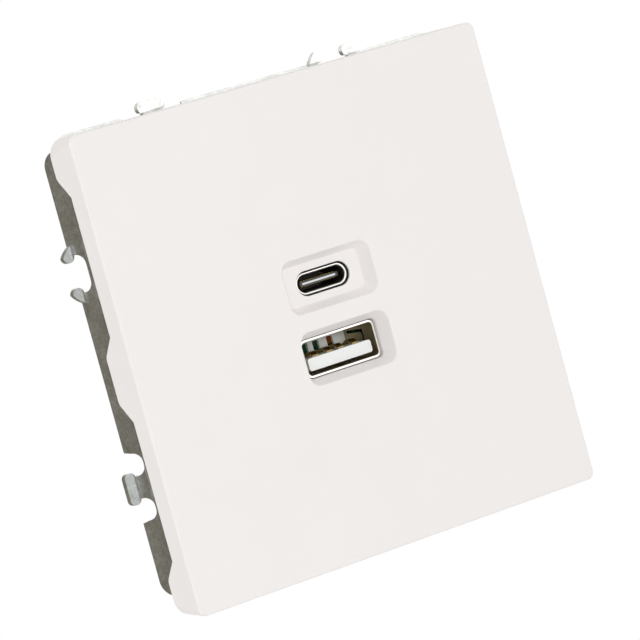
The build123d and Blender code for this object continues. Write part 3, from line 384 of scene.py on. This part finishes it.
def two_tone_tongue():
    """Black liquid-crystal polymer whose tongue is pale at the tip, where its middle plate shows."""
    material, tree, place = blank("black_polymer_with_pale_tip")
    parts = add(tree, "ShaderNodeSeparateXYZ", links={"Vector": place})
    tip = add(
        tree,
        "ShaderNodeMapRange",
        {"From Min": tongue_tip, "From Max": tongue_tip + C_TIP_MM * MM, "To Min": 1.0, "To Max": 0.0},
        {"Value": parts.outputs["Y"]},
    )
    height = add(
        tree,
        "ShaderNodeMath",
        {1: port_height},
        {0: parts.outputs["Z"]},
        operation="SUBTRACT",
    )
    thick = add(tree, "ShaderNodeMath", links={0: height.outputs[0]}, operation="ABSOLUTE")
    plate = add(
        tree,
        "ShaderNodeMath",
        {1: C_PLATE_HALF_MM * MM},
        {0: thick.outputs[0]},
        operation="LESS_THAN",
    )
    reach = add(tree, "ShaderNodeMath", links={0: parts.outputs["X"]}, operation="ABSOLUTE")
    width = add(
        tree,
        "ShaderNodeMath",
        {1: C_PLATE_REACH_MM * MM},
        {0: reach.outputs[0]},
        operation="LESS_THAN",
    )
    strip = add(
        tree,
        "ShaderNodeMath",
        links={0: width.outputs[0], 1: plate.outputs[0]},
        operation="MULTIPLY",
    )
    shown = add(
        tree,
        "ShaderNodeMath",
        links={0: tip.outputs[0], 1: strip.outputs[0]},
        operation="MULTIPLY",
    )
    grain = add(tree, "ShaderNodeTexNoise", {"Scale": per(TONGUE_GRAIN_MM), "Detail": 2.0}, {"Vector": place})
    black = add(
        tree,
        "ShaderNodeMix",
        {6: linear("#36342F"), 7: linear("#46433D")},
        {0: grain.outputs[0]},
        data_type="RGBA",
    )
    tone = add(
        tree,
        "ShaderNodeMix",
        {7: linear("#E4E9EB")},
        {0: shown.outputs[0], 6: black.outputs[2]},
        data_type="RGBA",
    )
    relief = add(tree, "ShaderNodeBump", {"Distance": TONGUE_RELIEF_MM * MM}, {"Height": grain.outputs[0]})
    shader = add(
        tree,
        "ShaderNodeBsdfPrincipled",
        {"Roughness": 0.42},
        {"Base Color": tone.outputs[2], "Normal": relief.outputs[0]},
    )
    add(tree, "ShaderNodeOutputMaterial", links={"Surface": shader.outputs[0]})
    return material


def shell_nickel():
    """Nickel on folded steel: a bright rim and outside, drawing lines along the tube, and a rougher inside
    painted darker as shade.
    """
    material, tree, place = blank("bright_nickel_plate")
    along = add(tree, "ShaderNodeMapping", {"Scale": INWARD_LONGEST}, {"Vector": place})
    lines = add(
        tree,
        "ShaderNodeTexNoise",
        {"Scale": per(SHELL_LINE_MM), "Detail": 3.0},
        {"Vector": along.outputs[0]},
    )
    parts = add(tree, "ShaderNodeSeparateXYZ", links={"Vector": place})
    deep = add(
        tree,
        "ShaderNodeMapRange",
        {"From Min": shell_rim, "From Max": shell_rim + SHELL_RIM_MM * MM},
        {"Value": parts.outputs["Y"]},
    )
    # The inside is where the sheet faces its own port's axis
    port = add(tree, "ShaderNodeMath", links={0: parts.outputs["Z"]}, operation="SIGN")
    height = add(
        tree,
        "ShaderNodeMath",
        {1: -port_height},
        {0: port.outputs[0], 2: parts.outputs["Z"]},
        operation="MULTIPLY_ADD",
    )
    spoke = add(tree, "ShaderNodeCombineXYZ", links={"X": parts.outputs["X"], "Z": height.outputs[0]})
    facing = add(
        tree,
        "ShaderNodeVectorMath",
        links={0: spoke.outputs[0], 1: add(tree, "ShaderNodeNewGeometry").outputs["True Normal"]},
        operation="DOT_PRODUCT",
    )
    inner = add(tree, "ShaderNodeMath", {1: 0.0}, {0: facing.outputs["Value"]}, operation="LESS_THAN")
    inside = add(
        tree,
        "ShaderNodeMath",
        links={0: deep.outputs[0], 1: inner.outputs[0]},
        operation="MULTIPLY",
    )
    # Painted shade: the inside is painted darker than the rim, brown in the lower, USB-A tube and grey in the
    # USB-C tube
    painted_inside_shade = add(
        tree,
        "ShaderNodeMix",
        {6: linear("#B6A988"), 7: linear("#8F8D89")},
        {0: port.outputs[0]},
        data_type="RGBA",
    )
    tone = add(
        tree,
        "ShaderNodeMix",
        {6: linear("#FDFAF5")},
        {0: inside.outputs[0], 7: painted_inside_shade.outputs[2]},
        data_type="RGBA",
    )
    streaks = add(
        tree,
        "ShaderNodeMapRange",
        {"From Min": NOISE_LOW, "From Max": NOISE_HIGH, "To Min": SHELL_POLISH[0], "To Max": SHELL_POLISH[1]},
        {"Value": lines.outputs[0]},
    )
    polish = add(
        tree,
        "ShaderNodeMath",
        {1: INSIDE_ROUGHER},
        {0: inside.outputs[0], 2: streaks.outputs[0]},
        operation="MULTIPLY_ADD",
    )
    relief = add(
        tree,
        "ShaderNodeBump",
        {"Strength": 1.0, "Distance": SHELL_RELIEF_MM * MM},
        {"Height": lines.outputs[0]},
    )
    shader = add(
        tree,
        "ShaderNodeBsdfPrincipled",
        {"Metallic": 1.0},
        {"Base Color": tone.outputs[2], "Roughness": polish.outputs[0], "Normal": relief.outputs[0]},
    )
    add(tree, "ShaderNodeOutputMaterial", links={"Surface": shader.outputs[0]})
    return material


# Satin ABS: a fine spark-eroded mould grain spreads reflections into one soft sheen.
# The true grain is near 0.05 mm, too fine to show, so it is drawn at 0.3 mm.
satin_abs = moulded(
    "satin_white_abs", "#F4F0EE", "#F0ECEA",
    roughness=(0.40, 0.48), grain_mm=0.3, depth_mm=0.004,
)
galvanised = galvanised_sheet()
# Polycarbonate with a coarser texture, so that the box looks matt; its dark colour is partly painted shade,
# chosen so that the gaps and slots round the ports read dark
graphite_polycarbonate = moulded(
    "graphite_polycarbonate", "#434547", "#3A3B3D",
    roughness=(0.48, 0.60), grain_mm=0.35, depth_mm=0.015,
)
# Zinc plating on turned steel: bright, a little streaky
zinc_plated = drawn_metal(
    "zinc_plated_steel", "#D6D7D3", "#B9BAB4",
    roughness=(0.22, 0.36), line_mm=0.25, depth_mm=0.006, stretch=INWARD,
)
# Yellow passivated zinc: bright with a straw tint
passivated_zinc = drawn_metal(
    "passivated_zinc_steel", "#D2C9A8", "#B5AA86",
    roughness=(0.26, 0.40), line_mm=0.3, depth_mm=0.006, stretch=INWARD,
)
bright_nickel = shell_nickel()
# Gold flash over nickel on sprung bronze: warm and bright
gold_flash = drawn_metal(
    "gold_flashed_bronze", "#C7B27C", "#9C8756",
    roughness=(0.16, 0.28), line_mm=0.15, depth_mm=0.002, stretch=INWARD_LONG,
)
# Half-hard brass strip: yellow, with rolling lines
rolled_brass = drawn_metal(
    "rolled_brass_strip", "#CFAE6A", "#B08F4E",
    roughness=(0.24, 0.38), line_mm=0.25, depth_mm=0.004, stretch=UPWARD_LONG,
)
# Drawn aluminium can: pale and lightly brushed
drawn_aluminium = drawn_metal(
    "drawn_aluminium_can", "#D5D6D8", "#BFC1C4",
    roughness=(0.24, 0.36), line_mm=0.2, depth_mm=0.004, stretch=UPWARD,
)
# Glass-filled nylon: clean white, slightly waxy
white_nylon = moulded(
    "white_filled_nylon", "#F6F8F6", "#EDF0EE",
    roughness=(0.34, 0.44), grain_mm=0.2, depth_mm=0.004,
)
black_polymer = two_tone_tongue()
# Solder mask on glass laminate: glossy green over a faint weave
green_mask = moulded(
    "green_solder_mask", "#2A6B45", "#1E5438",
    roughness=(0.22, 0.32), grain_mm=0.6, depth_mm=0.012, coat=0.3,
)
# Sintered ferrite: charcoal, dull and slightly pitted
ferrite = moulded(
    "sintered_ferrite", "#3B3A39", "#2B2A29",
    roughness=(0.55, 0.70), grain_mm=0.2, depth_mm=0.02,
)
# Phenolic bobbin: black and matt
phenolic = moulded(
    "black_phenolic", "#242322", "#181717",
    roughness=(0.45, 0.60), grain_mm=0.25, depth_mm=0.008,
)
# Polyester tape over the winding: yellow and slick, with soft wrinkles
polyester_tape = moulded(
    "yellow_polyester_tape", "#D9B73A", "#C7A12B",
    roughness=(0.18, 0.30), grain_mm=0.9, depth_mm=0.03,
)
# Shrunk vinyl sleeve: dark and glossy
vinyl_sleeve = moulded(
    "dark_vinyl_sleeve", "#2C3038", "#20242B",
    roughness=(0.20, 0.30), grain_mm=1.2, depth_mm=0.02,
)
# Fuse body: brown-black thermoplastic
fuse_shell = moulded(
    "brown_black_thermoplastic", "#3A322E", "#2C2623",
    roughness=(0.35, 0.48), grain_mm=0.3, depth_mm=0.006,
)
# Film capacitor case: mustard epoxy box
film_case = moulded(
    "mustard_epoxy_case", "#C9A32A", "#B48F1E",
    roughness=(0.30, 0.42), grain_mm=0.4, depth_mm=0.008,
)
# Transfer-moulded epoxy: black with a fine sandy grain
chip_epoxy = moulded(
    "sandy_black_epoxy", "#26262A", "#1A1A1C",
    roughness=(0.50, 0.65), grain_mm=0.2, depth_mm=0.01,
)
# Moulded bead beside the port: orange resin
orange_resin = moulded(
    "orange_resin_bead", "#C0692F", "#A85823",
    roughness=(0.30, 0.42), grain_mm=0.3, depth_mm=0.006,
)
# Enamelled copper wire: deep orange and glossy
enamelled_copper = drawn_metal(
    "enamelled_copper_wire", "#C9783E", "#A95B2A",
    roughness=(0.18, 0.28), line_mm=0.2, depth_mm=0.002, stretch=UPWARD,
)
# Tinned copper leads: pale and a little dull
tinned_copper = drawn_metal(
    "tinned_copper_lead", "#D3D4D2", "#B8B9B7",
    roughness=(0.28, 0.42), line_mm=0.15, depth_mm=0.003, stretch=INWARD,
)
# Soft solder: bright, slightly grained where it froze
soft_solder = drawn_metal(
    "frozen_soft_solder", "#D9DAD9", "#B4B6B6",
    roughness=(0.20, 0.34), line_mm=0.3, depth_mm=0.006, stretch=NO_WAY,
)

dressing = {
    satin_abs: ("front_cover",),
    galvanised: ("support_bracket",),
    graphite_polycarbonate: ("module_housing", "rear_lid"),
    zinc_plated: ("lid_screws", "module_screws", "line_screw", "neutral_screw"),
    passivated_zinc: ("line_clamp", "neutral_clamp"),
    bright_nickel: ("usb_a_shell", "usb_c_shell"),
    gold_flash: ("usb_a_contacts", "usb_c_contacts"),
    rolled_brass: ("line_terminal_bar", "neutral_terminal_bar"),
    drawn_aluminium: ("output_capacitors",),
    white_nylon: ("usb_a_insulator",),
    black_polymer: ("usb_c_insulator",),
    green_mask: ("main_board",),
    ferrite: ("transformer_core", "filter_choke"),
    phenolic: ("transformer_bobbin",),
    polyester_tape: ("transformer_winding",),
    vinyl_sleeve: ("input_capacitors",),
    fuse_shell: ("fuse",),
    film_case: ("safety_capacitor",),
    chip_epoxy: ("controller_chips", "bridge_rectifier"),
    orange_resin: ("port_capacitor",),
}
for material, names in dressing.items():
    for name in names:
        for holder in nodes[name].material_slots:
            holder.material = material


def grow(name, body, material, sizes, build):
    """Piece that a Geometry Nodes tree grows from named sizes, kept as a plain mesh on its body."""
    tree = bpy.data.node_groups.new(name, "GeometryNodeTree")
    sockets = {}
    for label, size in sizes.items():
        kind = "NodeSocketInt" if isinstance(size, int) else "NodeSocketFloat"
        sockets[label] = tree.interface.new_socket(label, in_out="INPUT", socket_type=kind)
    tree.interface.new_socket("Geometry", in_out="OUTPUT", socket_type="NodeSocketGeometry")
    given = add(tree, "NodeGroupInput").outputs
    real = add(tree, "GeometryNodeRealizeInstances", links={0: build(tree, given)})
    dressed = add(tree, "GeometryNodeSetMaterial", {"Material": material}, {"Geometry": real.outputs[0]})
    add(tree, "NodeGroupOutput", links={0: dressed.outputs[0]})
    piece = bpy.data.objects.new(name, bpy.data.meshes.new(name))
    scene.collection.objects.link(piece)
    modifier = piece.modifiers.new(name, "NODES")
    modifier.node_group = tree
    for label, size in sizes.items():
        modifier[sockets[label].identifier] = size
    grown = piece.evaluated_get(bpy.context.evaluated_depsgraph_get())
    mesh = bpy.data.meshes.new_from_object(grown)
    piece.modifiers.remove(modifier)
    piece.data = mesh
    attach(piece, body)


def at(place, depth):
    """Point in metres, from a place on the face and a depth into the wall in millimetres."""
    return Vector((place[0], depth, place[1])) * MM


def helix(start):
    """Builder of a right-handed wire that winds from a point into the wall."""

    def build(tree, given):
        turns = {
            "Rotations": given["Turns"],
            "Start Radius": given["Radius"],
            "End Radius": given["Radius"],
            "Height": given["Length"],
        }
        path = add(tree, "GeometryNodeCurveSpiral", {"Resolution": 24, "Reverse": True}, turns)
        wire = add(tree, "GeometryNodeCurvePrimitiveCircle", {"Resolution": 8}, {"Radius": given["Wire"]})
        ends = {"Curve": path.outputs[0], "Profile Curve": wire.outputs[0]}
        tube = add(tree, "GeometryNodeCurveToMesh", {"Fill Caps": True}, ends)
        smooth = add(tree, "GeometryNodeSetShadeSmooth", links={0: tube.outputs[0]})
        seat = {"Translation": start, "Rotation": INTO_WALL}
        return add(tree, "GeometryNodeTransform", seat, {"Geometry": smooth.outputs[0]}).outputs[0]

    return build


def chip_leads(tree, given):
    """Gull-wing leads: strips bent from the board up to both sides of each chip."""
    foot = -LEAD_T / 2
    root = foot - LEAD_RISE
    bend = {
        "Resolution": 8,
        "Start": at((LEAD_TIP, 0.0), foot),
        "Start Handle": at((LEAD_TIP - LEAD_BEND, 0.0), foot),
        "End Handle": at((LEAD_ROOT + LEAD_BEND, 0.0), root),
        "End": at((LEAD_ROOT, 0.0), root),
    }
    path = add(tree, "GeometryNodeCurvePrimitiveBezierSegment", bend, mode="POSITION")
    section = {"Width": LEAD_T * MM, "Height": LEAD_W * MM}
    strip = add(tree, "GeometryNodeCurvePrimitiveQuadrilateral", section, mode="RECTANGLE")
    ends = {"Curve": path.outputs[0], "Profile Curve": strip.outputs[0]}
    lead = add(tree, "GeometryNodeCurveToMesh", {"Fill Caps": True}, ends)
    row = add(
        tree,
        "GeometryNodeMeshGrid",
        {"Size X": 0.0, "Vertices X": 1},
        {"Size Y": given["Row"], "Vertices Y": given["Leads"]},
    )
    upright = add(tree, "GeometryNodeTransform", {"Rotation": UPRIGHT}, {"Geometry": row.outputs[0]})
    side = add(
        tree,
        "GeometryNodeInstanceOnPoints",
        links={"Points": upright.outputs[0], "Instance": lead.outputs[0]},
    )
    other = add(tree, "GeometryNodeTransform", {"Rotation": HALF_TURN}, {"Geometry": side.outputs[0]})
    both = add(tree, "GeometryNodeJoinGeometry", links={0: side.outputs[0]})
    tree.links.new(other.outputs[0], both.inputs[0])
    pair = add(
        tree,
        "GeometryNodeMeshGrid",
        {"Size X": 0.0, "Vertices X": 1, "Vertices Y": 2},
        {"Size Y": given["Chips apart"]},
    )
    chips_middle = middle("controller_chips")
    seat = {"Translation": (chips_middle.x, board_front, chips_middle.z), "Rotation": UPRIGHT}
    chips = add(tree, "GeometryNodeTransform", seat, {"Geometry": pair.outputs[0]})
    leads = add(
        tree,
        "GeometryNodeInstanceOnPoints",
        links={"Points": chips.outputs[0], "Instance": both.outputs[0]},
    )
    return leads.outputs[0]


def solder_joints(tree, given):
    """Solder cone round each shell pin on the back of the board."""
    cone = add(
        tree,
        "GeometryNodeMeshCone",
        {"Vertices": 16, "Radius Top": SOLDER_R / 3 * MM},
        {"Radius Bottom": given["Radius"], "Depth": given["Height"]},
    )
    joint = add(tree, "GeometryNodeTransform", {"Rotation": INTO_WALL}, {"Geometry": cone.outputs[0]})
    pins = add(tree, "GeometryNodeJoinGeometry")
    for spread, rows, height in (
        ((A_PIN_SPACING, 0.0), 1, middle("usb_a_shell").z),
        (C_PIN_SPACING, 2, port_height),
    ):
        grid = add(
            tree,
            "GeometryNodeMeshGrid",
            {"Size X": spread[0] * MM, "Size Y": spread[1] * MM, "Vertices X": 2, "Vertices Y": rows},
        )
        seat = {"Translation": (0.0, board_back, height), "Rotation": UPRIGHT}
        placed = add(tree, "GeometryNodeTransform", seat, {"Geometry": grid.outputs[0]})
        tree.links.new(placed.outputs[0], pins.inputs[0])
    joints = add(
        tree,
        "GeometryNodeInstanceOnPoints",
        links={"Points": pins.outputs[0], "Instance": joint.outputs[0]},
    )
    return joints.outputs[0]


thread = {
    "Radius": SCREW_R * MM,
    "Wire": THREAD_H * MM,
    "Length": (THREAD_TO - THREAD_FROM) * MM,
    "Turns": (THREAD_TO - THREAD_FROM) / THREAD_PITCH,
}
for screw in ("line_screw", "neutral_screw"):
    axis = middle(screw)
    start = (axis.x, THREAD_FROM * MM, axis.z)
    grow(f"{screw}_thread", screw, zinc_plated, thread, helix(start))
coil = {
    "Radius": COIL_R * MM,
    "Wire": COIL_WIRE_R * MM,
    "Length": (COIL_TO - COIL_FROM) * MM,
    "Turns": (COIL_TO - COIL_FROM) / COIL_PITCH,
}
grow("choke_coil", "socket", enamelled_copper, coil, helix(at(COIL_AT, COIL_FROM)))
leads = {
    "Leads": LEADS_A_SIDE,
    "Row": (LEADS_A_SIDE - 1) * LEAD_PITCH * MM,
    "Chips apart": CHIP_SPACING * MM,
}
grow("chip_leads", "socket", tinned_copper, leads, chip_leads)
joint = {"Radius": SOLDER_R * MM, "Height": SOLDER_H * MM}
grow("solder_joints", "socket", soft_solder, joint, solder_joints)


def pale_floor():
    """Square of floor that fades to plain white before its edge, and is clear from below."""
    half = FLOOR_HALF_MM * MM
    drop = cad_box[0].z - FLOOR_DROP_MM * MM
    mesh = bpy.data.meshes.new("floor")
    corners = [(-half, -half, drop), (half, -half, drop), (half, half, drop), (-half, half, drop)]
    mesh.from_pydata(corners, [], [(0, 1, 2, 3)])
    floor = bpy.data.objects.new("floor", mesh)
    scene.collection.objects.link(floor)
    # Metal reflects the studio's walls and not the paper under it
    floor.visible_glossy = False
    material, tree, place = blank("pale_studio_floor")
    flat = add(tree, "ShaderNodeVectorMath", {1: (1.0, 1.0, 0.0)}, {0: place}, operation="MULTIPLY")
    reach = add(tree, "ShaderNodeVectorMath", links={0: flat.outputs[0]}, operation="LENGTH")
    edge = add(
        tree,
        "ShaderNodeMapRange",
        {"From Min": FLOOR_FADE_MM[0] * MM, "From Max": FLOOR_FADE_MM[1] * MM},
        {"Value": reach.outputs["Value"]},
        interpolation_type="SMOOTHSTEP",
    )
    path = add(tree, "ShaderNodeLightPath")
    seen = add(
        tree,
        "ShaderNodeMath",
        links={0: path.outputs["Is Camera Ray"], 1: path.outputs["Is Glossy Ray"]},
        operation="MAXIMUM",
    )
    through = add(
        tree,
        "ShaderNodeMath",
        links={0: seen.outputs[0], 1: path.outputs["Is Transmission Ray"]},
        operation="MAXIMUM",
    )
    share = add(
        tree,
        "ShaderNodeMath",
        links={0: edge.outputs[0], 1: through.outputs[0]},
        operation="MULTIPLY",
    )
    paper = add(tree, "ShaderNodeBsdfDiffuse", {"Color": linear("#F7F7F6")})
    white = add(tree, "ShaderNodeEmission", {"Strength": 1.0})
    blended = add(
        tree,
        "ShaderNodeMixShader",
        links={0: share.outputs[0], 1: paper.outputs[0], 2: white.outputs[0]},
    )
    below = add(tree, "ShaderNodeNewGeometry").outputs["Backfacing"]
    clear = add(tree, "ShaderNodeBsdfTransparent")
    sheet = add(
        tree,
        "ShaderNodeMixShader",
        links={0: below, 1: blended.outputs[0], 2: clear.outputs[0]},
    )
    add(tree, "ShaderNodeOutputMaterial", links={"Surface": sheet.outputs[0]})
    mesh.materials.append(material)


def studio_walls():
    """White all round; metal also sees a dark wall behind on the left, and the camera's dim side."""
    world = bpy.data.worlds.new("studio")
    scene.world = world
    world.use_nodes = True
    tree = world.node_tree
    tree.nodes.clear()
    path = add(tree, "ShaderNodeLightPath")
    direction = add(tree, "ShaderNodeTexCoord").outputs["Generated"]
    walls = None
    for side, start, end, tone in (
        (DARK_SIDE, DARK_FROM, DARK_TO, DARK_TONE),
        (CAMERA_SIDE, CAMERA_FROM, CAMERA_TO, CAMERA_TONE),
    ):
        towards = add(
            tree,
            "ShaderNodeVectorMath",
            {1: Vector(side).normalized()},
            {0: direction},
            operation="DOT_PRODUCT",
        )
        share = add(
            tree,
            "ShaderNodeMapRange",
            {"From Min": start, "From Max": end},
            {"Value": towards.outputs["Value"]},
            interpolation_type="SMOOTHSTEP",
        )
        mixed = add(
            tree,
            "ShaderNodeMix",
            {6: (MIRRORED, MIRRORED, MIRRORED, 1.0), 7: linear(tone)},
            {0: share.outputs[0], 6: walls} if walls else {0: share.outputs[0]},
            data_type="RGBA",
        )
        walls = mixed.outputs[2]
    lit = add(
        tree,
        "ShaderNodeMix",
        {6: (AMBIENT, AMBIENT, AMBIENT, 1.0)},
        {0: path.outputs["Is Glossy Ray"], 7: walls},
        data_type="RGBA",
    )
    plain = add(
        tree,
        "ShaderNodeMath",
        links={0: path.outputs["Is Camera Ray"], 1: path.outputs["Is Transmission Ray"]},
        operation="MAXIMUM",
    )
    final = add(
        tree,
        "ShaderNodeMix",
        {7: (1.0, 1.0, 1.0, 1.0)},
        {0: plain.outputs[0], 6: lit.outputs[2]},
        data_type="RGBA",
    )
    background = add(tree, "ShaderNodeBackground", links={"Color": final.outputs[2]})
    add(tree, "ShaderNodeOutputWorld", links={"Surface": background.outputs[0]})


def soft_box(name, place_mm, size_mm, power, mirrored):
    """Square area lamp that faces the object, seen in metal or not."""
    lamp = bpy.data.lights.new(name, "AREA")
    lamp.size = size_mm * MM
    lamp.energy = power
    holder = bpy.data.objects.new(name, lamp)
    holder.location = Vector(place_mm) * MM
    holder.rotation_euler = (-holder.location).to_track_quat("-Z", "Y").to_euler()
    holder.visible_glossy = mirrored
    scene.collection.objects.link(holder)


def photo_camera():
    """Camera at the photograph's angle and roll, aimed beside the middle of the cover's face."""
    azimuth, elevation, roll = (math.radians(angle) for angle in (AZIMUTH, ELEVATION, ROLL))
    back = Vector(
        (
            math.sin(azimuth) * math.cos(elevation),
            -math.cos(azimuth) * math.cos(elevation),
            math.sin(elevation),
        )
    )
    level = Vector((math.cos(azimuth), math.sin(azimuth), 0.0))
    upright = back.cross(level)
    right = level * math.cos(roll) + upright * math.sin(roll)
    up = upright * math.cos(roll) - level * math.sin(roll)
    camera = bpy.data.cameras.new("camera")
    camera.sensor_width = SENSOR_MM
    camera.lens = LENS_PX / IMAGE_PX * SENSOR_MM
    camera.clip_start = 0.01
    holder = bpy.data.objects.new("camera", camera)
    place = back * DISTANCE_MM - right * AIM_RIGHT_MM - up * AIM_UP_MM + Vector((0.0, FACE_MM, 0.0))
    turn = Matrix((right, up, back)).transposed().to_4x4()
    holder.matrix_world = Matrix.Translation(place * MM) @ turn
    scene.collection.objects.link(holder)
    scene.camera = holder


pale_floor()
studio_walls()
for lamp in LAMPS:
    soft_box(*lamp)
photo_camera()
scene.view_settings.view_transform = "Standard"
